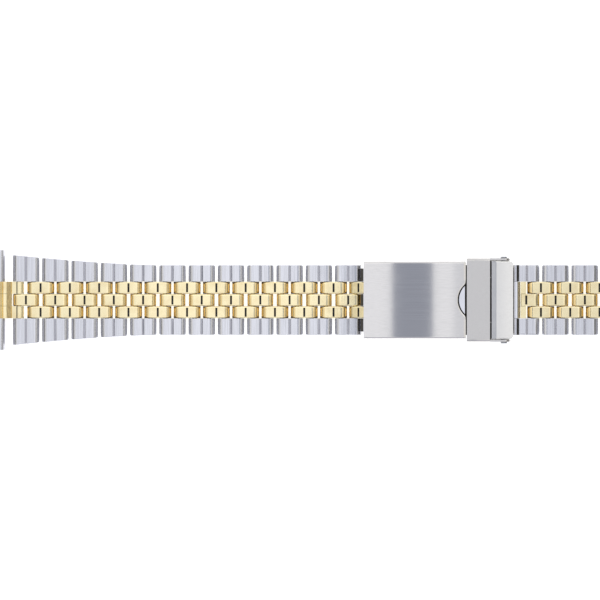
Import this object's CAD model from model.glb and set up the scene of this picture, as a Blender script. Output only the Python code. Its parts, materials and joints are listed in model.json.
"""Dresses the packed link strap: steel and gold links, fold-over clasp, end pieces and studio."""

import json
from math import asin, atan2, cos, pi, radians, sqrt

import bmesh
import bpy
from bpy.props import FloatProperty, FloatVectorProperty, IntProperty, PointerProperty
from mathutils import Matrix, Vector

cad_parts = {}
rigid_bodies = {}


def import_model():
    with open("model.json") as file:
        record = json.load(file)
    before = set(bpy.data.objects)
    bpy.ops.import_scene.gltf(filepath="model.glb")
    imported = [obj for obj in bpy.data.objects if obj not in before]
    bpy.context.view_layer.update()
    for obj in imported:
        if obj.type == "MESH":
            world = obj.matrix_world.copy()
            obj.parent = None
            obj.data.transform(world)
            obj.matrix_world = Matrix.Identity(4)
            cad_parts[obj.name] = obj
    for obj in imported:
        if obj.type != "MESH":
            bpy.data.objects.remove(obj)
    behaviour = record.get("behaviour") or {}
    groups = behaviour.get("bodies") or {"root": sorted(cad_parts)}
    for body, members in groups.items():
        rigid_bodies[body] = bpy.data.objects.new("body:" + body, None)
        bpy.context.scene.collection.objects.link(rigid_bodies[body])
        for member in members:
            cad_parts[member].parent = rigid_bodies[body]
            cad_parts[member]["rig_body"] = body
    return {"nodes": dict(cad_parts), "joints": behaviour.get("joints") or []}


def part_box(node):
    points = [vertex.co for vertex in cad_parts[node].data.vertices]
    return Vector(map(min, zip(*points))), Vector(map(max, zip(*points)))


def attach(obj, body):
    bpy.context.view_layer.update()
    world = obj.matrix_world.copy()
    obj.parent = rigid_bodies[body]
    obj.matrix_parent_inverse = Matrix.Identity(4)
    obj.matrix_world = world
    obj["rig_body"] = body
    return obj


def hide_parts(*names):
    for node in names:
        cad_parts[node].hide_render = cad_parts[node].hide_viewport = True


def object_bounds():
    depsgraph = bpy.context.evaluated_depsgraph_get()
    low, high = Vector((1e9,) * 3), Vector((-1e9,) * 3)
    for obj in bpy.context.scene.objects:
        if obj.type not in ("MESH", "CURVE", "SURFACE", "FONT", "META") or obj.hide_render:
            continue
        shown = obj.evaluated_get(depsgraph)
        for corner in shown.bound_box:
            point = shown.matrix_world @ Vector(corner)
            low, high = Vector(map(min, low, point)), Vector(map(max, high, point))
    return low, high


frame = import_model()
CAD_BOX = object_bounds()

bl_info = {
    "name": "Two-tone link strap",
    "version": (1, 0, 0),
    "blender": (4, 5, 0),
    "location": "View3D > Sidebar > Strap",
    "description": "Builds the links, beads, clasp and studio of a two-tone link strap on its packed frame",
    "category": "Object",
}

MM = 0.001
MICRON = 0.000001
NODES = frame["nodes"]
HINGES = {joint["name"]: Vector(joint["pos_m"]) for joint in frame["joints"]}
LEFT_LINKS = sorted(name for name in NODES if name.startswith("link_l"))
RIGHT_LINKS = sorted(name for name in NODES if name.startswith("link_r"))
BEAD_PAIRS = sorted(name for name in NODES if name.startswith("beads_"))
SLOPING_PAIR = BEAD_PAIRS[len(LEFT_LINKS) - 1]
COVER_LOW, COVER_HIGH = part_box("clasp_cover")
BLOCK_LOW, BLOCK_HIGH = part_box("end_block")

# Material slots of a piece: residue in its creases, and the gold of its steep faces
DULL, WARM = 1, 2
# Stretch of the brushed streaks on the clasp, which run along the strap
STREAKS = (0.006, 1, 1)
# Tolerances for finding a place
NEAR = 0.0001 * MM
TOUCH = 0.001 * MM
HAIR = 0.01 * MM
# Places along a bead, in millimetres, where its barrel shape is cut, and how late the shape closes in
BARREL_CUTS = (-1.3, -0.8, 0, 0.8, 1.3)
BARREL_POWER = 4.2
# Depth of a cutter that goes through the whole strap, and half the width of a block that does
THROUGH, ACROSS = 30 * MM, 11 * MM
# Where the shoulder of an end piece starts, measured from its first pin, and its height
SHOULDER_START, SHOULDER_TOP = 2.7 * MM, 3.06 * MM
# On the first link, in millimetres: its groove's sides and its slot's place, measured from its pins
FIRST_GROOVE, FIRST_SLOT = (0.2, 0.68), 0.83
# Height down to which residue lies in that link's gaps
RESIDUE_LOW = 1.7 * MM
# Facets across an end piece's gold middle: length and height in millimetres of their two edges
FACETS = (((75.9, 3.05), (75.1, 2.62)), ((74.4, 2.76), (73.35, 2.26)))
# Blocks in its outer rows, in millimetres: length and height of the middle, then half the size
SADDLE = ("saddle", (72.653, 2.303), (0.613, 1.17, 0.263), "UNION")
LINE = ("line", (72.343, 2.607), (0.1, 1.29, 0.35), "DIFFERENCE")
# Lip under the gap beside the end block, in millimetres: overlap, places across, heights
LIP_OVERLAP, LIP_ACROSS, LIP_HEIGHTS = 0.4, (4.52, 8), (0.03, 0.42)
# How far the notch's flare is moved along, so that it crosses the cover's edge at an angle
FLARE_SHIFT = 0.04 * MM
# Dull faces round the catch's pad: reach from the cover's end in millimetres, height, depth below the top
PAD_REACH, PAD_LOW, PAD_DEPTH = (-1.45, 0.65), 3.2 * MM, 0.4 * MM


def length(name, description, default):
    """A length in metres, given in millimetres."""
    return FloatProperty(name=name, description=description, default=default * MM, precision=5,
                         unit="LENGTH", subtype="DISTANCE")


def share(name, description, default):
    """A plain number."""
    return FloatProperty(name=name, description=description, default=default)


def colour(name, description, default):
    """A colour in linear values."""
    return FloatVectorProperty(name=name, description=description, default=default, size=3,
                               subtype="COLOR", min=0, max=1)


class StrapSizes(bpy.types.PropertyGroup):
    """Sizes of the links, beads and pins."""

    link_length: length("Link length", "Length of a steel link along the strap", 5.26)
    pair_length: length("Pair length", "Length of a bead in the outer gold rows", 5.38)
    middle_length: length("Middle length", "Length of a bead in the middle row", 5.14)
    thickness: length("Thickness", "Thickness of a link", 2.6)
    pin_step: length("Pin step", "Distance between a link's two pins", 2.93)
    row_step: length("Row step", "Distance from one row of beads to the next", 2.45)
    row_play: length("Row play", "Clearance between two rows", 0.05)
    bead_width: length("Bead width", "Width of a bead at its slot", 2.4)
    bead_end_width: length("Bead end width", "Width of an outer bead at its ends", 1.95)
    middle_end_width: length("Middle end width", "Width of a bead of the middle row at its ends", 2.28)
    barrel_height: length("Barrel height", "Depth below the top to which a bead is barrel-shaped", 0.9)
    bead_rounding: length("Bead rounding", "Rounding round a bead's two sides", 0.3)
    slot_width: length("Slot width", "Width of a bead's slot along the strap", 0.4)
    slot_length: length("Slot length", "Length of a bead's slot across the strap", 1.8)
    slot_depth: length("Slot depth", "Depth of a bead's slot", 0.5)
    groove_width: length("Groove width", "Width of the groove between a steel link's lobes", 0.5)
    groove_depth: length("Groove depth", "Depth of that groove", 0.35)
    edge_bevel: length("Edge bevel", "Bevel round a steel link's outer side", 0.16)
    small_bevel: length("Small bevel", "Softened edge of every other corner", 0.05)
    pin_radius: length("Pin radius", "Radius of a strap pin", 0.45)
    bore_play: length("Bore play", "How much wider a bore is than its pin, in radius", 0.015)
    pin_rounding: length("Pin rounding", "Rounding of a pin's ends", 0.08)
    pin_recess: length("Pin recess", "How far a pin ends below a link's side", 0.2)
    shoulder: length("Shoulder", "Rounding of an end piece towards the links", 1.2)


class ClaspSizes(bpy.types.PropertyGroup):
    """Sizes of the clasp's cover and its softened edges."""

    curve_radius: length("Clasp curve", "Radius of the clasp's curve along the strap", 87)
    cover_thickness: length("Cover thickness", "Thickness of the cover's plate and walls", 0.6)
    wall_height: length("Wall height", "Height of the cover's walls", 3.9)
    cover_rounding: length("Cover rounding", "Rounding along the cover's long edges", 0.55)
    notch_width: length("Notch width", "Width of the thumb notch", 6.6)
    notch_depth: length("Notch depth", "Depth of the thumb notch along the strap", 1.6)
    notch_flare: length("Notch flare", "Radius with which the notch runs into the edge", 1.5)
    rim_width: length("Rim width", "Width of the bevel round the thumb notch and along that edge", 0.4)
    rim_depth: length("Rim depth", "Depth of that bevel", 0.1)
    hole_radius: length("Hole radius", "Radius of the fine adjustment holes", 0.44)
    hole_step: length("Hole step", "Step from one adjustment hole to the next", 2.4)
    holes: IntProperty(name="Holes", description="Adjustment holes in each wall", default=4, min=1, max=6)
    pin_hole_radius: length("Pin hole radius", "Radius of the hole for the cover's hinge pin", 0.465)
    rim_bevel: length("Rim bevel", "Softened edge of the clasp's pieces", 0.09)
    block_gap: length("Block gap", "Gap between the flap's band and the end block", 0.35)
    bevel_rise: length("Bevel rise", "How much the outer edge of the end block's bevel is raised", 0.228)


class StrapColours(bpy.types.PropertyGroup):
    """Colours of the metals."""

    link_steel: colour("Link steel", "Steel of the links, with a cold tint", (0.69, 0.69, 0.725))
    cover_steel: colour("Cover steel", "Brushed steel of the cover", (0.70, 0.68, 0.665))
    flap_steel: colour("Flap steel", "Brushed steel of the safety flap", (0.64, 0.62, 0.60))
    block_steel: colour("Block steel", "Brushed steel of the end block", (0.77, 0.755, 0.73))
    polished: colour("Polished steel", "Polished steel of catch and leaves", (0.82, 0.82, 0.86))
    pin: colour("Pin steel", "Turned steel of the pins", (0.45, 0.46, 0.49))
    gold: colour("Gold", "Light tone of the polished gold", (0.93, 0.81, 0.51))
    gold_deep: colour("Deep gold", "Darker tone of the polished gold", (0.84, 0.69, 0.40))
    gold_warm: colour("Warm gold", "Gold of steep faces, which mirror their neighbours", (0.95, 0.74, 0.38))
    crease: colour("Crease", "Dull residue in slots and gaps", (0.07, 0.062, 0.05))


class StudioSettings(bpy.types.PropertyGroup):
    """Camera, lamps and floor."""

    view_width: length("View width", "Width of the strap that the picture shows", 120)
    view_centre: length("View centre", "Place along the strap at the picture's middle", -15.73)
    camera_height: length("Camera height", "Height of the camera over the strap", 1200)
    sensor_width: share("Sensor width", "Width of the camera's sensor in millimetres", 36)
    lamp_height: length("Lamp height", "Height of the flat lamps", 75)
    lamp_depth: length("Lamp depth", "Depth of each lamp across the strap", 160)
    left_start: length("Left lamp start", "Where the left lamp begins, along the strap", -172)
    left_split: length("Left split", "Left of this place the left lamp is dimmer", -52)
    left_share: share("Left share", "Brightness of that dimmer part as a share", 0.86)
    gap_start: length("Gap start", "Where the left lamp ends, along the strap", -3.5)
    gap_end: length("Gap end", "Where the right lamp begins, along the strap", 18.1)
    right_end: length("Right lamp end", "Where the right lamp ends and the weak one begins", 29.5)
    weak_end: length("Weak lamp end", "Where the weak lamp ends and the far one begins", 60)
    far_end: length("Far lamp end", "Where the far lamp ends", 95)
    lamp_radiance: share("Lamp brightness", "Brightness of the lamps' faces", 0.7)
    weak_share: share("Weak share", "Brightness of the weak lamp as a share", 0.7)
    lamp_tint: colour("Lamp tint", "Colour of the lamps", (1.0, 0.985, 0.95))
    overhead: colour("Overhead", "Studio overhead, between the lamps", (0.38, 0.41, 0.49))
    back: colour("Back wall", "Studio towards the picture's top", (0.96, 0.98, 1.0))
    front: colour("Front wall", "Studio towards the picture's bottom", (0.54, 0.56, 0.63))
    sides: colour("Side walls", "Studio towards the strap's two ends", (0.27, 0.265, 0.255))
    floor: colour("Floor", "Colour of the floor", (0.8, 0.8, 0.8))
    floor_glow: share("Floor glow", "Light that the floor shows to the camera and in mirrors", 0.75)


def only(piece):
    """Selects one object and makes it active."""
    bpy.ops.object.select_all(action="DESELECT")
    piece.select_set(True)
    bpy.context.view_layer.objects.active = piece


def added(name, scale=(1, 1, 1)):
    """The object that was just added, named, and with its place, turn and scale in its mesh."""
    piece = bpy.context.object
    piece.name = piece.data.name = name
    piece.scale = scale
    only(piece)
    bpy.ops.object.transform_apply(location=True, rotation=True, scale=True)
    return piece


def choose(piece, kind, test=lambda part: True):
    """Goes into edit mode with only those vertices, edges or faces selected that pass the test."""
    only(piece)
    bpy.ops.object.mode_set(mode="EDIT")
    bpy.ops.mesh.select_mode(type=kind)
    bpy.ops.mesh.select_all(action="DESELECT")
    shape = bmesh.from_edit_mesh(piece.data)
    for part in {"VERT": shape.verts, "EDGE": shape.edges, "FACE": shape.faces}[kind]:
        if test(part):
            part.select_set(True)
    shape.select_flush_mode()
    bmesh.update_edit_mesh(piece.data)


def done():
    """Leaves edit mode."""
    bpy.ops.object.mode_set(mode="OBJECT")


def shift(piece, test, move):
    """Moves those vertices of a piece that pass the test."""
    choose(piece, "VERT", test)
    bpy.ops.transform.translate(value=move)
    done()


def block(name, low, high):
    """A block between two corners."""
    bpy.ops.object.select_all(action="DESELECT")
    bpy.ops.mesh.primitive_cube_add(size=1, location=(Vector(low) + Vector(high)) / 2)
    return added(name, Vector(high) - Vector(low))


def rod(name, place, radius, across, sides=32):
    """A round rod across the strap."""
    bpy.ops.object.select_all(action="DESELECT")
    bpy.ops.mesh.primitive_cylinder_add(vertices=sides, radius=radius, depth=across, location=place,
                                        rotation=(pi / 2, 0, 0))
    return added(name)


def slice_at(piece, place, normal, clear_outer=False, clear_inner=False, fill=False):
    """Cuts the whole piece along a plane, and may take one side away."""
    choose(piece, "FACE")
    bpy.ops.mesh.bisect(plane_co=place, plane_no=normal, clear_outer=clear_outer, clear_inner=clear_inner,
                        use_fill=fill, threshold=NEAR)
    done()


def lines_at(piece, *places):
    """Cuts a line across the piece at places along the strap."""
    for place in places:
        slice_at(piece, (place, 0, 0), (1, 0, 0))


def modify(piece, kind, **values):
    """Adds a modifier, sets it and applies it."""
    modifier = piece.modifiers.new(kind.capitalize(), kind)
    for key, value in values.items():
        setattr(modifier, key, value)
    only(piece)
    bpy.ops.object.modifier_apply(modifier=modifier.name)


def cut_with(piece, cutter, operation="DIFFERENCE"):
    """Cuts one piece with another, or joins them, and removes the other."""
    modify(piece, "BOOLEAN", operation=operation, solver="EXACT", object=cutter)
    bpy.data.objects.remove(cutter)


def soften(piece, width, angle=35, segments=2):
    """Rounds every edge that is sharper than the angle."""
    modify(piece, "BEVEL", width=width, segments=segments, limit_method="ANGLE", angle_limit=radians(angle))


def smooth(piece, angle=32):
    """Shades the piece smooth apart from its sharp edges."""
    only(piece)
    bpy.ops.object.shade_smooth_by_angle(angle=radians(angle))


def copy_of(piece, name, move):
    """A copy of a piece with a mesh of its own, moved by a matrix."""
    mesh = piece.data.copy()
    mesh.transform(move)
    mesh.name = name
    other = bpy.data.objects.new(name, mesh)
    bpy.context.scene.collection.objects.link(other)
    return other


def joined(pieces, name):
    """Joins several objects into one."""
    bpy.ops.object.select_all(action="DESELECT")
    for piece in pieces:
        piece.select_set(True)
    bpy.context.view_layer.objects.active = pieces[0]
    bpy.ops.object.join()
    pieces[0].name = pieces[0].data.name = name
    return pieces[0]


def mark(piece, slot, test):
    """Gives the second or third material to the clean faces whose middle and normal pass the test."""
    if len(piece.data.materials) != 3:
        piece.data.materials.clear()
        for material in (polished_gold(), crease(), warm_gold()):
            piece.data.materials.append(material)
    for face in piece.data.polygons:
        if face.material_index != DULL and test(face.center, face.normal):
            face.material_index = slot


def finish_piece(piece, material, node, stands_for=()):
    """Gives a piece its materials, body and slot, and hides the nodes that it stands for."""
    marks = [face.material_index for face in piece.data.polygons]
    piece.data.materials.clear()
    for layer in (material, crease(), warm_gold())[:max(marks) + 1]:
        piece.data.materials.append(layer)
    piece.data.polygons.foreach_set("material_index", marks)
    modify(piece, "WEIGHTED_NORMAL", keep_sharp=True)
    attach(piece, NODES[node]["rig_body"])
    if stands_for:
        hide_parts(*stands_for)


def node_copy(node, name):
    """A merged copy of a CAD node's mesh, with its flat faces made whole."""
    piece = copy_of(NODES[node], name, Matrix())
    only(piece)
    bpy.ops.mesh.customdata_custom_splitnormals_clear()
    choose(piece, "FACE")
    bpy.ops.mesh.remove_doubles(threshold=2 * TOUCH)
    bpy.ops.mesh.dissolve_limited(angle_limit=radians(0.4))
    done()
    return piece


def loose_parts(piece):
    """Separates a piece into its loose solids."""
    before = set(bpy.data.objects)
    choose(piece, "FACE")
    bpy.ops.mesh.separate(type="LOOSE")
    done()
    return [piece] + [other for other in bpy.data.objects if other not in before]


def once(maker):
    """Makes a material only the first time that its name is asked for."""
    def wanted(name=maker.__defaults__[0], *values):
        return bpy.data.materials.get(name) or maker(name, *values)

    wanted.__doc__ = maker.__doc__
    return wanted


def dimmer(tone, share):
    """A share of a colour."""
    return [share * part for part in tone]


class Shading:
    """Adds and joins the nodes of a material or a world."""

    def __init__(self, data, output="ShaderNodeOutputMaterial"):
        data.use_nodes = True
        self.data, self.tree = data, data.node_tree
        self.tree.nodes.clear()
        self.output = self.add(output)

    def add(self, kind, **values):
        """Adds a node and sets its options."""
        node = self.tree.nodes.new(kind)
        for key, value in values.items():
            setattr(node, key, value)
        return node

    def link(self, source, target):
        """Joins an output to an input."""
        self.tree.links.new(source, target)

    def noise(self, scale, stretch=(1, 1, 1), detail=3):
        """Noise on object coordinates, stretched along the axes."""
        place = self.add("ShaderNodeTexCoord")
        mapping = self.add("ShaderNodeMapping")
        mapping.inputs["Scale"].default_value = stretch
        noise = self.add("ShaderNodeTexNoise")
        noise.inputs["Scale"].default_value = scale
        noise.inputs["Detail"].default_value = detail
        self.link(place.outputs["Object"], mapping.inputs["Vector"])
        self.link(mapping.outputs["Vector"], noise.inputs["Vector"])
        return noise.outputs["Fac"]

    def blend(self, share, first, second, low=0.3, high=0.7):
        """A ramp between two colours."""
        ramp = self.add("ShaderNodeValToRGB")
        for stop, place, tone in zip(ramp.color_ramp.elements, (low, high), (first, second)):
            stop.position, stop.color = place, (*tone, 1)
        self.link(share, ramp.inputs["Fac"])
        return ramp.outputs["Color"]

    def spread(self, value, start, end, low=0, high=1, ease="LINEAR"):
        """Maps the values between start and end to those from low to high."""
        spread = self.add("ShaderNodeMapRange", interpolation_type=ease)
        for name, limit in (("From Min", start), ("From Max", end), ("To Min", low), ("To Max", high)):
            spread.inputs[name].default_value = limit
        self.link(value, spread.inputs["Value"])
        return spread.outputs["Result"]

    def mix(self, share, first, second):
        """Mixes two colours, the first of which may be a node's output."""
        mix = self.add("ShaderNodeMix", data_type="RGBA")
        self.link(share, mix.inputs["Factor"])
        if isinstance(first, tuple):
            mix.inputs[6].default_value = first
        else:
            self.link(first, mix.inputs[6])
        mix.inputs[7].default_value = second
        return mix.outputs[2]

    def surface(self, tone, haze, rough, relief, strength=0.12, height=3 * MICRON, metallic=1, across=0):
        """Makes the surface from its tone, a haze that gives its roughness, and a relief."""
        shader = self.add("ShaderNodeBsdfPrincipled")
        bump = self.add("ShaderNodeBump")
        bump.inputs["Strength"].default_value = strength
        bump.inputs["Distance"].default_value = height
        shader.inputs["Metallic"].default_value = metallic
        shader.inputs["Anisotropic"].default_value = across
        if across:
            sideways = self.add("ShaderNodeCombineXYZ")
            sideways.inputs["Y"].default_value = 1
            self.link(sideways.outputs["Vector"], shader.inputs["Tangent"])
        self.link(tone, shader.inputs["Base Color"])
        self.link(self.spread(haze, 0.3, 0.7, *rough), shader.inputs["Roughness"])
        self.link(relief, bump.inputs["Height"])
        self.link(bump.outputs["Normal"], shader.inputs["Normal"])
        self.link(shader.outputs["BSDF"], self.output.inputs["Surface"])
        return self.data


@once
def brushed_steel(name="Brushed steel", tone="link_steel", grain=(1, 0.03, 1), rough=(0.2, 0.28),
                  across=0.6, fineness=4500, depth=0.12):
    """Satin steel with fine streaks, which blurs what it reflects across the strap."""
    light = getattr(bpy.context.scene.strap_colours, tone)
    shade = Shading(bpy.data.materials.new(name))
    streak = shade.noise(fineness, grain, detail=4)
    cloud = shade.noise(260, detail=2)
    tone = shade.blend(streak, dimmer(light, 1 - depth), light, 0.3, 0.6)
    return shade.surface(tone, cloud, rough, streak, across=across)


@once
def polished_steel(name="Polished steel"):
    """Mirror steel with hairlines and a trace of haze."""
    light = bpy.context.scene.strap_colours.polished
    shade = Shading(bpy.data.materials.new(name))
    hairline = shade.noise(5000, (0.05, 1, 1), detail=2)
    haze = shade.noise(500)
    return shade.surface(shade.blend(haze, dimmer(light, 0.93), light), haze, (0.06, 0.16), hairline, 0.1)


def gold(name, dark, light, limits, rough):
    """Gold whose tone and haze change a little from place to place."""
    shade = Shading(bpy.data.materials.new(name))
    cloud = shade.noise(420)
    scuff = shade.noise(6000, (1, 0.15, 1))
    return shade.surface(shade.blend(cloud, dark, light, *limits), scuff, rough, scuff)


@once
def polished_gold(name="Polished gold"):
    """Polished gold of the beads and of the end pieces' middles."""
    colours = bpy.context.scene.strap_colours
    return gold(name, colours.gold_deep, colours.gold, (0.2, 0.55), (0.12, 0.24))


@once
def warm_gold(name="Warm gold"):
    """Gold of steep faces: warmer, as it mirrors the gold beside it."""
    light = bpy.context.scene.strap_colours.gold_warm
    return gold(name, dimmer(light, 0.88), light, (0.3, 0.7), (0.14, 0.26))


@once
def crease(name="Crease"):
    """Dull dark residue in the slots and gaps."""
    dark = bpy.context.scene.strap_colours.crease
    shade = Shading(bpy.data.materials.new(name))
    grit = shade.noise(3000)
    return shade.surface(shade.blend(grit, dimmer(dark, 0.5), dark), grit, (0.5, 0.8), grit, 0.2,
                         5 * MICRON, metallic=0)


@once
def pin_steel(name="Pin steel"):
    """Turned steel of the pins, with rings round them."""
    light = bpy.context.scene.strap_colours.pin
    shade = Shading(bpy.data.materials.new(name))
    ring = shade.noise(7000, (0.1, 1, 0.1), detail=2)
    tone = shade.blend(ring, dimmer(light, 0.7), light)
    return shade.surface(tone, ring, (0.22, 0.38), ring, 0.2, 4 * MICRON)


def link_middle(node):
    """Middle of a link or bead pair along the strap."""
    low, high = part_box(node)
    return (low.x + high.x) / 2


def side_blank(name, low_y, high_y, long, sizes):
    """A block across the strap that is round about both pins and cut square to a length."""
    radius = sizes.thickness / 2
    reach = sizes.pin_step / 2 + radius
    piece = block(name, (-reach, low_y, 0), (reach, high_y, sizes.thickness))
    choose(piece, "EDGE", lambda edge: abs(edge.verts[0].co.y - edge.verts[1].co.y) > HAIR)
    bpy.ops.mesh.bevel(offset=radius * 0.9995, offset_type="OFFSET", segments=12, affect="EDGES",
                       clamp_overlap=False)
    done()
    half = long / 2
    slice_at(piece, (half, 0, 0), (1, 0, 0), clear_outer=True, fill=True)
    slice_at(piece, (-half, 0, 0), (-1, 0, 0), clear_outer=True, fill=True)
    return piece


def steel_link_sides(left_width, right_width, sizes):
    """Both steel outer pieces of a link, with the groove, bores and bevels."""
    inner = 1.5 * sizes.row_step + sizes.row_play / 2
    outer = (left_width + right_width) / 4
    piece = side_blank("steel_model", inner, outer, sizes.link_length, sizes)
    top = sizes.thickness
    lines_at(piece, -sizes.groove_width / 2, 0, sizes.groove_width / 2)
    shift(piece, lambda vertex: abs(vertex.co.x) < TOUCH and vertex.co.z > top - HAIR,
          (0, 0, -sizes.groove_depth))
    slope = (right_width - left_width) / 2 / sizes.link_length
    for vertex in piece.data.vertices:
        if vertex.co.y > outer - TOUCH:
            vertex.co.y += vertex.co.x * slope

    def on_rim(edge):
        return all(abs(v.co.y - outer - v.co.x * slope) < 2 * TOUCH for v in edge.verts)

    choose(piece, "EDGE", on_rim)
    bpy.ops.mesh.bevel(offset=sizes.edge_bevel, segments=3, affect="EDGES", clamp_overlap=True)
    done()
    for side in (-1, 1):
        place = (side * sizes.pin_step / 2, 0, top / 2)
        cut_with(piece, rod("bore", place, sizes.pin_radius + sizes.bore_play, THROUGH))
    choose(piece, "FACE")
    bpy.ops.mesh.remove_doubles(threshold=4 * TOUCH)
    bpy.ops.mesh.dissolve_limited(angle_limit=radians(0.2))
    done()
    soften(piece, sizes.small_bevel)
    modify(piece, "MIRROR", use_axis=(False, True, False), use_mirror_merge=False)
    smooth(piece)
    return piece


def side_edges(piece, keep=lambda place: True):
    """Selects the edges between a bead's flat sides and the rest, where their places pass the test."""

    def on_side(edge):
        flat = [face for face in edge.link_faces if abs(face.normal.y) > 0.8]
        return (len(flat) == 1 and edge.verts[0].co.y * edge.verts[1].co.y > 0
                and all(keep(vertex.co) for vertex in edge.verts))

    choose(piece, "EDGE", on_side)


def bead_base(name, long, sizes):
    """Lower part of a bead, with straight sides."""
    half = sizes.bead_width / 2
    shoulder = sizes.thickness - sizes.barrel_height
    piece = side_blank(name, -half, half, long, sizes)
    side_edges(piece, lambda place: place.z < sizes.thickness / 3)
    bpy.ops.mesh.bevel(offset=sizes.bead_rounding, segments=3, affect="EDGES", clamp_overlap=True)
    done()
    slice_at(piece, (0, 0, shoulder), (0, 0, 1), clear_outer=True, fill=True)
    soften(piece, sizes.small_bevel, angle=50)
    mark(piece, DULL, lambda place, normal: normal.z > 0.9 and abs(place.z - shoulder) < 0.03 * MM)
    return piece


def bead(name, long, end_width, sizes):
    """One bead: barrel-shaped above, straight below, with its slot."""
    half = sizes.bead_width / 2
    top = sizes.thickness
    low = top - sizes.barrel_height - sizes.bead_rounding
    piece = side_blank(name, -half, half, long, sizes)
    slice_at(piece, (0, 0, low), (0, 0, -1), clear_outer=True, fill=True)
    lines_at(piece, *(place * MM for place in BARREL_CUTS))
    swell = (sizes.bead_width - end_width) / 2
    for step in sorted({round(abs(vertex.co.x), 7) for vertex in piece.data.vertices}):
        wide = half - swell * (2 * step / long) ** BARREL_POWER
        choose(piece, "VERT", lambda vertex: abs(abs(vertex.co.x) - step) < 2 * NEAR)
        bpy.ops.transform.resize(value=(1, wide / half, 1), center_override=(0, 0, 0))
        done()
    side_edges(piece)
    bpy.ops.mesh.bevel(offset=sizes.bead_rounding, segments=4, affect="EDGES", clamp_overlap=True)
    done()
    lines_at(piece, -sizes.slot_width / 2, sizes.slot_width / 2)
    for place in (-sizes.slot_length / 2, sizes.slot_length / 2):
        slice_at(piece, (0, place, 0), (0, 1, 0))

    def over_slot(place):
        return (abs(place.x) < sizes.slot_width / 2 + HAIR and abs(place.y) < sizes.slot_length / 2 + HAIR
                and place.z > top - sizes.slot_depth - sizes.small_bevel)

    choose(piece, "FACE", lambda face: over_slot(face.calc_center_median()) and face.normal.z > 0.9)
    bpy.ops.mesh.extrude_region_move(TRANSFORM_OT_translate={"value": (0, 0, -sizes.slot_depth)})
    done()
    soften(piece, sizes.small_bevel, angle=40)
    mark(piece, DULL, lambda place, normal: over_slot(place) and place.z < top - 0.04 * MM)
    mark(piece, WARM, lambda place, normal: abs(normal.x) > 0.3 and normal.z > 0.1
         and abs(place.x) > 1 * MM)
    piece = joined([piece, bead_base(name + "_base", long, sizes)], name)
    smooth(piece, 40)
    return piece


def pin_pair(name, centre, width, sizes):
    """The two pins of a link, with rounded ends."""
    pins = []
    for side in (-1, 1):
        place = (side * sizes.pin_step / 2, 0, sizes.thickness / 2)
        pins.append(rod(name, place, sizes.pin_radius, width - 2 * sizes.pin_recess))
        soften(pins[-1], sizes.pin_rounding, angle=60, segments=3)
    piece = joined(pins, name)
    piece.data.transform(Matrix.Translation((centre, 0, 0)))
    smooth(piece)
    return piece


def link_form(node, sizes):
    """Middle of a steel link along the strap, and its width at its left and right end."""
    centre = link_middle(node)
    reach = sizes.link_length / 2 - 0.1 * MM
    places = [vertex.co for vertex in NODES[node].data.vertices]
    left = max(place.y for place in places if place.x < centre - reach)
    right = max(place.y for place in places if place.x > centre + reach)
    return centre, round(2 * left, 5), round(2 * right, 5)


class STRAP_OT_steel_links(bpy.types.Operator):
    """Build the steel outer pieces of every link, with groove, bores and bevelled sides"""

    bl_idname = "strap.steel_links"
    bl_label = "Steel links"

    def execute(self, context):
        sizes = context.scene.strap_sizes
        material = brushed_steel()
        models = {}
        for node in LEFT_LINKS + RIGHT_LINKS[1:]:
            centre, *widths = link_form(node, sizes)
            key = tuple(widths)
            if key not in models:
                models[key] = steel_link_sides(*key, sizes)
            place = Matrix.Translation((centre, 0, 0))
            piece = copy_of(models[key], node.replace("link", "steel"), place)
            smooth(piece)
            finish_piece(piece, material, node, [node])
        for model in models.values():
            bpy.data.objects.remove(model)
        return {"FINISHED"}


class STRAP_OT_gold_beads(bpy.types.Operator):
    """Build the gold beads of all three rows"""

    bl_idname = "strap.gold_beads"
    bl_label = "Gold beads"

    def execute(self, context):
        sizes = context.scene.strap_sizes
        material = polished_gold()
        single = bead("bead_single", sizes.middle_length, sizes.middle_end_width, sizes)
        model = bead("bead_model", sizes.pair_length, sizes.bead_end_width, sizes)
        for node in LEFT_LINKS + RIGHT_LINKS[1:]:
            place = Matrix.Translation((link_middle(node), 0, 0))
            piece = copy_of(single, node.replace("link", "bead"), place)
            smooth(piece, 40)
            finish_piece(piece, material, node)
        for node in BEAD_PAIRS:
            if node == SLOPING_PAIR:
                first = HINGES[LEFT_LINKS[-1] + "_bend"]
                second = HINGES[node + "_bend"]
                rise = atan2(second.z - first.z, second.x - first.x)
                place = (Matrix.Translation((first + second) / 2) @ Matrix.Rotation(-rise, 4, "Y")
                         @ Matrix.Translation((0, 0, -sizes.thickness / 2)))
            else:
                place = Matrix.Translation((link_middle(node), 0, 0))
            name = node.replace("beads", "pair")
            rows = [place @ Matrix.Translation((0, row * sizes.row_step, 0)) for row in (-1, 1)]
            piece = joined([copy_of(model, name, row) for row in rows], name)
            smooth(piece, 40)
            finish_piece(piece, material, node, [node])
        bpy.data.objects.remove(model)
        bpy.data.objects.remove(single)
        return {"FINISHED"}


class STRAP_OT_strap_pins(bpy.types.Operator):
    """Build the two pins of every link"""

    bl_idname = "strap.strap_pins"
    bl_label = "Strap pins"

    def execute(self, context):
        sizes = context.scene.strap_sizes
        material = pin_steel()
        for node in LEFT_LINKS + RIGHT_LINKS[1:]:
            centre, left, right = link_form(node, sizes)
            piece = pin_pair(node.replace("link", "pins"), centre, min(left, right), sizes)
            finish_piece(piece, material, node)
        return {"FINISHED"}


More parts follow.
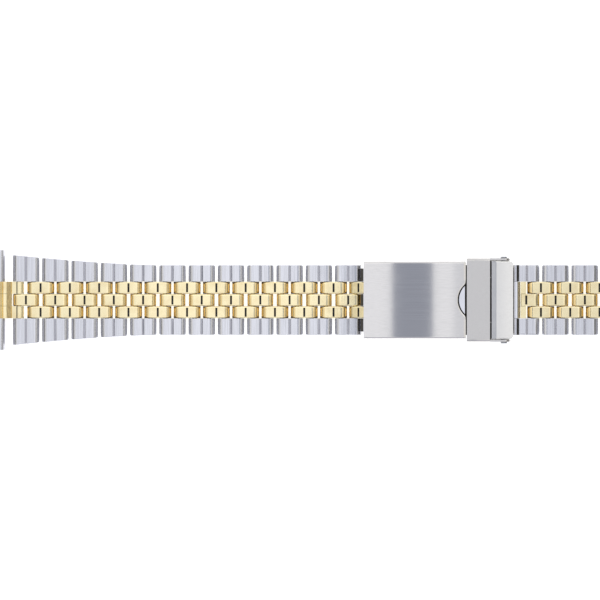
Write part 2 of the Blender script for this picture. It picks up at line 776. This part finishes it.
class STRAP_OT_first_link(bpy.types.Operator):
    """Build the special link right of the clasp"""

    bl_idname = "strap.first_link"
    bl_label = "First link at the clasp"

    def execute(self, context):
        sizes = context.scene.strap_sizes
        node = RIGHT_LINKS[0]
        inner = 1.5 * sizes.row_step
        tube = HINGES[node + "_bend"].x
        groove = [tube + place * MM for place in FIRST_GROOVE]
        slot_x = tube + sizes.pin_step - FIRST_SLOT * MM
        top = sizes.thickness

        def in_groove(place, normal):
            return groove[0] < place.x < groove[1] and RESIDUE_LOW < place.z < top - 0.3 * MM

        def in_row_line(place, normal):
            beside = abs(abs(place.y) - sizes.row_step / 2) < 0.5 * sizes.row_play + HAIR
            over = (abs(place.x - slot_x) < sizes.slot_width / 2 + HAIR
                    and abs(place.y) < sizes.slot_length / 2)
            return RESIDUE_LOW < place.z < top - 0.15 * MM and normal.z > -0.5 and (beside or over)

        groups = {"steel": [], "gold": [], "pins": []}
        for part in loose_parts(node_copy(node, "first_link")):
            across = [vertex.co.y for vertex in part.data.vertices]
            if min(across) > inner or max(across) < -inner:
                kind = "steel"
            else:
                kind = "pins" if max(across) > inner + 1 * MM else "gold"
            groups[kind].append(part)
        for kind, material, slot, dull, cuts in (
                ("steel", brushed_steel(), "brushed_steel", in_groove, groove),
                ("gold", polished_gold(), "polished_gold", in_row_line, ()),
                ("pins", pin_steel(), "pin_steel", None, ())):
            piece = joined(groups[kind], f"first_link_{kind}")
            lines_at(piece, *cuts)
            soften(piece, sizes.small_bevel * 1.2)
            smooth(piece)
            if dull:
                mark(piece, DULL, dull)
            finish_piece(piece, material, node, [node] if kind == "steel" else [])
        return {"FINISHED"}


def facet(piece, side, start, end):
    """Cuts a slanting facet across an end piece, from a higher to a lower place along the strap.

    The places are given as length and height on the right end; the left end has them mirrored.
    """
    (high_at, high), (low_at, low) = ((side * along * MM, height * MM) for along, height in (start, end))
    left, right = sorted((high_at, low_at))
    tool = block("facet", (left, -ACROSS, low), (right, ACROSS, high + 1 * MM))
    shift(tool, lambda vertex: vertex.co.z < low + NEAR and abs(vertex.co.x - high_at) < NEAR,
          (0, 0, high - low))
    cut_with(piece, tool)


def rounded_shoulder(piece, side, sizes):
    """Rounds the edge of an end piece that faces the links."""
    edge = abs(HINGES["end_left_bend"].x) + SHOULDER_START
    radius = sizes.shoulder
    centre = edge + radius
    left, right = sorted((side * (edge - 0.5 * MM), side * centre))
    low = SHOULDER_TOP - radius
    tool = block("shoulder", (left, -ACROSS, low), (right, ACROSS, SHOULDER_TOP + 1 * MM))
    cut_with(tool, rod("round", (side * centre, 0, low), radius, THROUGH, 96))
    cut_with(piece, tool)


class STRAP_OT_end_pieces(bpy.types.Operator):
    """Build both hollow end pieces with their gold middles"""

    bl_idname = "strap.end_pieces"
    bl_label = "End pieces"

    def execute(self, context):
        sizes = context.scene.strap_sizes
        line, line_half = LINE[1][0] * MM, LINE[2][0] * MM

        def in_lines(place, normal):
            beside = abs(abs(place.y) - sizes.row_step / 2) < 0.5 * sizes.row_play + HAIR / 2
            over = abs(abs(place.x) - line) < line_half + HAIR and place.z < 2.5 * MM
            return normal.z > -0.2 and place.z > 1.5 * MM and (beside or over)

        for node in ("end_piece_left", "end_piece_right"):
            piece = node_copy(node, node.replace("piece", "steel"))
            rounded_shoulder(piece, -1 if "left" in node else 1, sizes)
            soften(piece, 0.1 * MM, angle=45, segments=3)
            for vertex in piece.data.vertices:
                vertex.co.y = max(CAD_BOX[0][1], min(CAD_BOX[1][1], vertex.co.y))
            smooth(piece)
            finish_piece(piece, brushed_steel(), node, [node])
        for node in ("end_middle_left", "end_middle_right"):
            piece = node_copy(node, node.replace("middle", "gold"))
            side = -1 if "left" in node else 1
            for start, end in FACETS:
                facet(piece, side, start, end)
            for row in (-1, 1):
                for name, (along, height), half, operation in (SADDLE, LINE):
                    place = Vector((side * along * MM, row * sizes.row_step, height * MM))
                    reach = Vector([part * MM for part in half])
                    cut_with(piece, block(name, place - reach, place + reach), operation)
            soften(piece, 0.03 * MM)
            smooth(piece, 20)
            mark(piece, DULL, in_lines)
            mark(piece, WARM, lambda place, normal: place.z > 2 * MM and 0.25 < abs(normal.x) < 0.9
                 and abs(place.x) > 73.3 * MM)
            finish_piece(piece, polished_gold(), node, [node])
        return {"FINISHED"}


def cover_height(sizes, place):
    """Height of the cover's curved top at a place along the strap."""
    lean = asin((place - (COVER_LOW.x + COVER_HIGH.x) / 2) / sizes.curve_radius)
    return COVER_HIGH.z - sizes.curve_radius * (1 - cos(lean))


def leaning_block(name, low, high, move):
    """A block whose left face leans: its upper edge is moved along the strap."""
    piece = block(name, low, high)
    shift(piece, lambda vertex: vertex.co.z > high[2] - NEAR and vertex.co.x < low[0] + NEAR, (move, 0, 0))
    return piece


def leaning_rod(name, place, lower, upper, depth):
    """An upright rod that widens or narrows from its lower to its upper end."""
    bpy.ops.object.select_all(action="DESELECT")
    bpy.ops.mesh.primitive_cone_add(vertices=128, radius1=lower, radius2=upper, depth=depth, location=place)
    return added(name)


def notch_tool(sizes, height, lean, reach):
    """Cutter with the outline of the thumb notch and of the edge beside it.

    Its sides lean outwards by lean for each half of reach, and meet the upright notch half a reach lower.
    """
    bow = ((sizes.notch_width / 2) ** 2 + sizes.notch_depth ** 2) / (2 * sizes.notch_depth)
    flare = sizes.notch_flare
    bow_x = COVER_HIGH.x - sizes.notch_depth + bow
    flare_x = sizes.notch_depth - bow - flare
    flare_y = sqrt((bow + flare) ** 2 - flare_x ** 2)
    low, high = height - reach, height + reach
    right = COVER_HIGH.x + 2 * MM
    tool = leaning_rod("notch", (bow_x, 0, height), bow - lean, bow + 3 * lean, 2 * reach)
    for side in (-1, 1):
        start, end = sorted((0, side * flare_y))
        corner_x = bow_x + flare_x * (bow - lean) / (bow + flare)
        corner = leaning_block("corner", (corner_x, start, low), (right, end, high),
                               4 * lean * flare_x / (bow + flare))
        place = (COVER_HIGH.x - flare + FLARE_SHIFT, side * flare_y, height)
        depth = 2 * reach if lean else 2.2 * reach
        cut_with(corner, leaning_rod("flare", place, flare + lean, flare - 3 * lean, depth))
        cut_with(tool, corner, "UNION")
        if lean:
            start, end = sorted((side * (flare_y - 0.05 * MM), side * (COVER_HIGH.y + 1 * MM)))
            edge = leaning_block("edge", (COVER_HIGH.x + lean, start, low), (right, end, high), -4 * lean)
            cut_with(tool, edge, "UNION")
    return tool


class STRAP_OT_clasp_cover(bpy.types.Operator):
    """Build the curved cover with its thumb notch and adjustment holes"""

    bl_idname = "strap.clasp_cover"
    bl_label = "Clasp cover"

    def execute(self, context):
        sizes = context.scene.clasp_sizes
        middle_x = (COVER_LOW.x + COVER_HIGH.x) / 2
        top = COVER_HIGH.z
        axis = (middle_x, 0, top - sizes.curve_radius)
        half_turn = asin((COVER_HIGH.x - COVER_LOW.x) / 2 / sizes.curve_radius) * 1.1
        bpy.ops.object.select_all(action="DESELECT")
        bpy.ops.mesh.primitive_plane_add(size=1, location=(middle_x, 0, top - sizes.wall_height / 2),
                                         rotation=(0, pi / 2, 0))
        piece = added("cover_shell", (sizes.wall_height, COVER_HIGH.y - COVER_LOW.y, 1))
        choose(piece, "VERT", lambda vertex: vertex.co.z > top - HAIR)
        bpy.ops.mesh.bevel(offset=sizes.cover_rounding, segments=8, affect="VERTICES", clamp_overlap=False)
        done()
        choose(piece, "FACE")
        bpy.ops.mesh.delete(type="ONLY_FACE")
        done()
        choose(piece, "EDGE", lambda edge: all(v.co.z < top - sizes.wall_height + HAIR for v in edge.verts))
        bpy.ops.mesh.delete(type="EDGE")
        done()
        choose(piece, "VERT")
        bpy.ops.transform.rotate(value=-half_turn, orient_axis="Y", center_override=axis)
        bpy.ops.mesh.spin(steps=40, angle=2 * half_turn, center=axis, axis=(0, 1, 0))
        bpy.ops.mesh.select_all(action="SELECT")
        bpy.ops.mesh.remove_doubles(threshold=TOUCH)
        bpy.ops.mesh.normals_make_consistent(inside=False)
        done()
        slice_at(piece, (COVER_LOW.x, 0, 0), (-1, 0, 0), clear_outer=True)
        slice_at(piece, (COVER_HIGH.x, 0, 0), (1, 0, 0), clear_outer=True)
        upper = max(piece.data.polygons, key=lambda face: face.center.z * 10 + face.area)
        if upper.normal.z < 0:
            choose(piece, "FACE")
            bpy.ops.mesh.flip_normals()
            done()
        modify(piece, "SOLIDIFY", thickness=sizes.cover_thickness, offset=-1, use_even_offset=True)
        cut_with(piece, notch_tool(sizes, top, 0, 2 * MM))
        along = COVER_HIGH.x - sizes.notch_depth / 2
        lean = asin((along - middle_x) / sizes.curve_radius)
        surface = cover_height(sizes, along)
        rim = notch_tool(sizes, surface, sizes.rim_width, 2 * sizes.rim_depth)
        pivot = Matrix.Translation((along, 0, surface))
        rim.data.transform(pivot @ Matrix.Rotation(lean, 4, "Y") @ pivot.inverted())
        cut_with(piece, rim)
        bar = HINGES["adjusting_link_tilt"]
        for hole in range(sizes.holes):
            place = bar + Vector((hole * sizes.hole_step, 0, 0))
            cut_with(piece, rod("hole", place, sizes.hole_radius, THROUGH))
        cut_with(piece, rod("hole", HINGES["cover_fold"], sizes.pin_hole_radius, THROUGH))
        soften(piece, sizes.rim_bevel, angle=50, segments=3)
        smooth(piece, 17)
        mark(piece, DULL, lambda place, normal: abs(normal.z) < 0.5 and place.x > COVER_HIGH.x - 2 * MM
             and abs(place.y) < sizes.notch_width / 2)
        steel = brushed_steel("Cover steel", "cover_steel", STREAKS, (0.16, 0.19), 0.85, 9000, 0.07)
        finish_piece(piece, steel, "clasp_cover", ["clasp_cover"])
        return {"FINISHED"}


def shape_block(piece, sizes):
    """Adds the end block's lip at each side, under the gap to the flap, and raises its bevel."""
    bottom, top = (height * MM for height in LIP_HEIGHTS)
    for side in (-1, 1):
        start, end = sorted(side * place * MM for place in LIP_ACROSS)
        low = (BLOCK_LOW.x - sizes.block_gap - LIP_OVERLAP * MM, start, bottom)
        cut_with(piece, block("lip", low, (BLOCK_LOW.x + LIP_OVERLAP * MM, end, top)), "UNION")

    def on_bevel(vertex):
        return vertex.co.x < BLOCK_LOW.x + 0.03 * MM and vertex.co.z > BLOCK_HIGH.z - 0.7 * MM

    shift(piece, on_bevel, (0, 0, sizes.bevel_rise))


def beside_block(place, normal):
    """Passes the dull faces that lie low beside the end block."""
    return (normal.z > 0.9 and place.z < HINGES["flap_lift"].z / 2
            and (abs(place.y) > BLOCK_HIGH.y - 1 * MM or place.x < BLOCK_LOW.x))


class STRAP_OT_safety_flap(bpy.types.Operator):
    """Build the safety flap and the end block that carries it"""

    bl_idname = "strap.safety_flap"
    bl_label = "Safety flap and end block"

    def execute(self, context):
        sizes = context.scene.clasp_sizes
        for node, name, tone in (("safety_flap", "flap_shell", "flap_steel"),
                                 ("end_block", "block_shell", "block_steel")):
            look = tone.replace("_", " ").capitalize()
            steel = brushed_steel(look, tone, STREAKS, (0.22, 0.26), 0.8, 9000, 0.06)
            piece = node_copy(node, name)
            if node == "end_block":
                shape_block(piece, sizes)
            soften(piece, sizes.rim_bevel, angle=40, segments=3)
            smooth(piece, 8 if node == "end_block" else 40)
            if node == "end_block":
                mark(piece, DULL, beside_block)
            finish_piece(piece, steel, node, [node])
        return {"FINISHED"}


class STRAP_OT_inner_works(bpy.types.Operator):
    """Build the leaves, catch, rivets, adjusting link and the pins of the clasp"""

    bl_idname = "strap.inner_works"
    bl_label = "Leaves, catch and pins"

    def execute(self, context):
        sizes = context.scene.clasp_sizes
        looks = (
            (polished_steel(), "polished_steel", ("inner_leaf", "outer_leaf", "snap_catch")),
            (brushed_steel(), "brushed_steel", ("adjusting_link",)),
            (pin_steel(), "pin_steel", ("flap_rivets", "cover_hinge_pin", "fold_hinge_pin",
                                        "adjusting_spring_bar")),
        )
        gap = (BLOCK_LOW.x - sizes.block_gap - 0.3 * MM, BLOCK_LOW.x + 0.3 * MM)
        heel = HINGES[SLOPING_PAIR + "_bend"]
        pad_end = COVER_HIGH.x - 0.2 * MM

        def in_block_gap(place, normal):
            return gap[0] < place.x < gap[1] and normal.z > 0.5

        def beside_pad(place, normal):
            below = place.z < cover_height(sizes, place.x) - PAD_DEPTH or place.x > pad_end
            return (PAD_REACH[0] < (place.x - COVER_HIGH.x) / MM < PAD_REACH[1] and abs(normal.y) < 0.5
                    and place.z > PAD_LOW and below)

        def on_heel(place, normal):
            return place.x < heel.x - 0.5 * MM and place.z > heel.z - 0.4 * MM

        dull = {"inner_leaf": in_block_gap, "snap_catch": beside_pad, "adjusting_link": on_heel}
        cuts = {"inner_leaf": gap, "snap_catch": (pad_end,)}
        for material, slot, nodes in looks:
            for node in nodes:
                piece = node_copy(node, "soft_" + node)
                lines_at(piece, *cuts.get(node, ()))
                soften(piece, 0.07 * MM)
                smooth(piece)
                if node in dull:
                    mark(piece, DULL, dull[node])
                finish_piece(piece, material, node, [node])
        return {"FINISHED"}


def studio_world(settings):
    """A soft studio round the strap: darker overhead, bright behind it and dimmer in front."""
    world = bpy.data.worlds.new("Studio")
    bpy.context.scene.world = world
    shade = Shading(world, "ShaderNodeOutputWorld")
    place = shade.add("ShaderNodeTexCoord")
    split = shade.add("ShaderNodeSeparateXYZ")
    shade.link(place.outputs["Generated"], split.inputs["Vector"])
    tone = (*settings.sides, 1)
    for axis, start, end, wall in (("Y", 0.1, 0.6, settings.back), ("Y", -0.1, -0.6, settings.front),
                                   ("Z", 0.75, 0.93, settings.overhead)):
        share = shade.spread(split.outputs[axis], start, end, ease="SMOOTHSTEP")
        tone = shade.mix(share, tone, (*wall, 1))
    studio = shade.add("ShaderNodeBackground")
    shade.link(tone, studio.inputs["Color"])
    shade.link(studio.outputs["Background"], shade.output.inputs["Surface"])


def floor_material(settings):
    """A matt floor that shows white to the camera and in mirrors, and keeps the strap's shadow."""
    shade = Shading(bpy.data.materials.new("Studio floor"))
    matt = shade.add("ShaderNodeBsdfDiffuse")
    matt.inputs["Color"].default_value = (*settings.floor, 1)
    rays = shade.add("ShaderNodeLightPath")
    shown = rays.outputs["Is Camera Ray"]
    for kind in ("Is Glossy Ray", "Is Transmission Ray"):
        either = shade.add("ShaderNodeMath", operation="MAXIMUM")
        shade.link(shown, either.inputs[0])
        shade.link(rays.outputs[kind], either.inputs[1])
        shown = either.outputs["Value"]
    level = shade.add("ShaderNodeMath", operation="MULTIPLY")
    level.inputs[1].default_value = settings.floor_glow
    glow = shade.add("ShaderNodeEmission")
    both = shade.add("ShaderNodeAddShader")
    shade.link(shown, level.inputs[0])
    shade.link(level.outputs["Value"], glow.inputs["Strength"])
    shade.link(matt.outputs["BSDF"], both.inputs[0])
    shade.link(glow.outputs["Emission"], both.inputs[1])
    shade.link(both.outputs["Shader"], shade.output.inputs["Surface"])
    return shade.data


def lamp(name, start, end, share, settings):
    """A flat soft lamp over a stretch of the strap, which the camera doesn't see."""
    data = bpy.data.lights.new(name, "AREA")
    data.shape = "RECTANGLE"
    data.size, data.size_y = end - start, settings.lamp_depth
    data.energy = share * settings.lamp_radiance * pi * data.size * data.size_y
    data.color = settings.lamp_tint
    light = bpy.data.objects.new(name, data)
    light.location = ((start + end) / 2, 0, settings.lamp_height)
    light.visible_camera = False
    bpy.context.scene.collection.objects.link(light)


class STRAP_OT_studio(bpy.types.Operator):
    """Build the floor, the lamps, the world and the camera"""

    bl_idname = "strap.studio"
    bl_label = "Studio"

    def execute(self, context):
        scene = context.scene
        settings = scene.studio_settings
        bpy.ops.object.select_all(action="DESELECT")
        bpy.ops.mesh.primitive_plane_add(size=1.6, location=(0, 0, 0))
        floor = context.object
        floor.name = "studio_floor"
        floor.data.materials.append(floor_material(settings))
        studio_world(settings)
        for name, start, end, part in (
                ("lamp_far_left", settings.left_start, settings.left_split, settings.left_share),
                ("lamp_left", settings.left_split, settings.gap_start, 1),
                ("lamp_right", settings.gap_end, settings.right_end, 1),
                ("lamp_weak", settings.right_end, settings.weak_end, settings.weak_share),
                ("lamp_far", settings.weak_end, settings.far_end, 1)):
            lamp(name, start, end, part, settings)
        data = bpy.data.cameras.new("camera")
        data.sensor_width = settings.sensor_width
        data.lens = settings.sensor_width * settings.camera_height / settings.view_width
        camera = bpy.data.objects.new("camera", data)
        top = scene.strap_sizes.thickness
        camera.location = (settings.view_centre, 0, settings.camera_height + top)
        scene.collection.objects.link(camera)
        scene.camera = camera
        scene.view_settings.view_transform = "Standard"
        return {"FINISHED"}


class STRAP_PT_panel(bpy.types.Panel):
    """Lists the strap's building steps"""

    bl_label = "Two-tone link strap"
    bl_idname = "STRAP_PT_panel"
    bl_space_type = "VIEW_3D"
    bl_region_type = "UI"
    bl_category = "Strap"

    def draw(self, context):
        for step in STEPS:
            self.layout.operator(step.bl_idname)


GROUPS = {
    "strap_sizes": StrapSizes,
    "clasp_sizes": ClaspSizes,
    "strap_colours": StrapColours,
    "studio_settings": StudioSettings,
}
STEPS = [
    STRAP_OT_steel_links, STRAP_OT_gold_beads, STRAP_OT_strap_pins, STRAP_OT_first_link,
    STRAP_OT_end_pieces, STRAP_OT_clasp_cover, STRAP_OT_safety_flap, STRAP_OT_inner_works, STRAP_OT_studio,
]


def register():
    for group in GROUPS.values():
        bpy.utils.register_class(group)
    for name, group in GROUPS.items():
        setattr(bpy.types.Scene, name, PointerProperty(type=group))
    for step in STEPS:
        bpy.utils.register_class(step)
    bpy.utils.register_class(STRAP_PT_panel)


def unregister():
    bpy.utils.unregister_class(STRAP_PT_panel)
    for step in reversed(STEPS):
        bpy.utils.unregister_class(step)
    for name in GROUPS:
        delattr(bpy.types.Scene, name)
    for group in GROUPS.values():
        bpy.utils.unregister_class(group)


def main():
    """Registers everything, builds the strap and writes both boxes."""
    register()
    for step in STEPS:
        group, name = step.bl_idname.split(".")
        getattr(getattr(bpy.ops, group), name)()


if __name__ == "__main__":
    main()
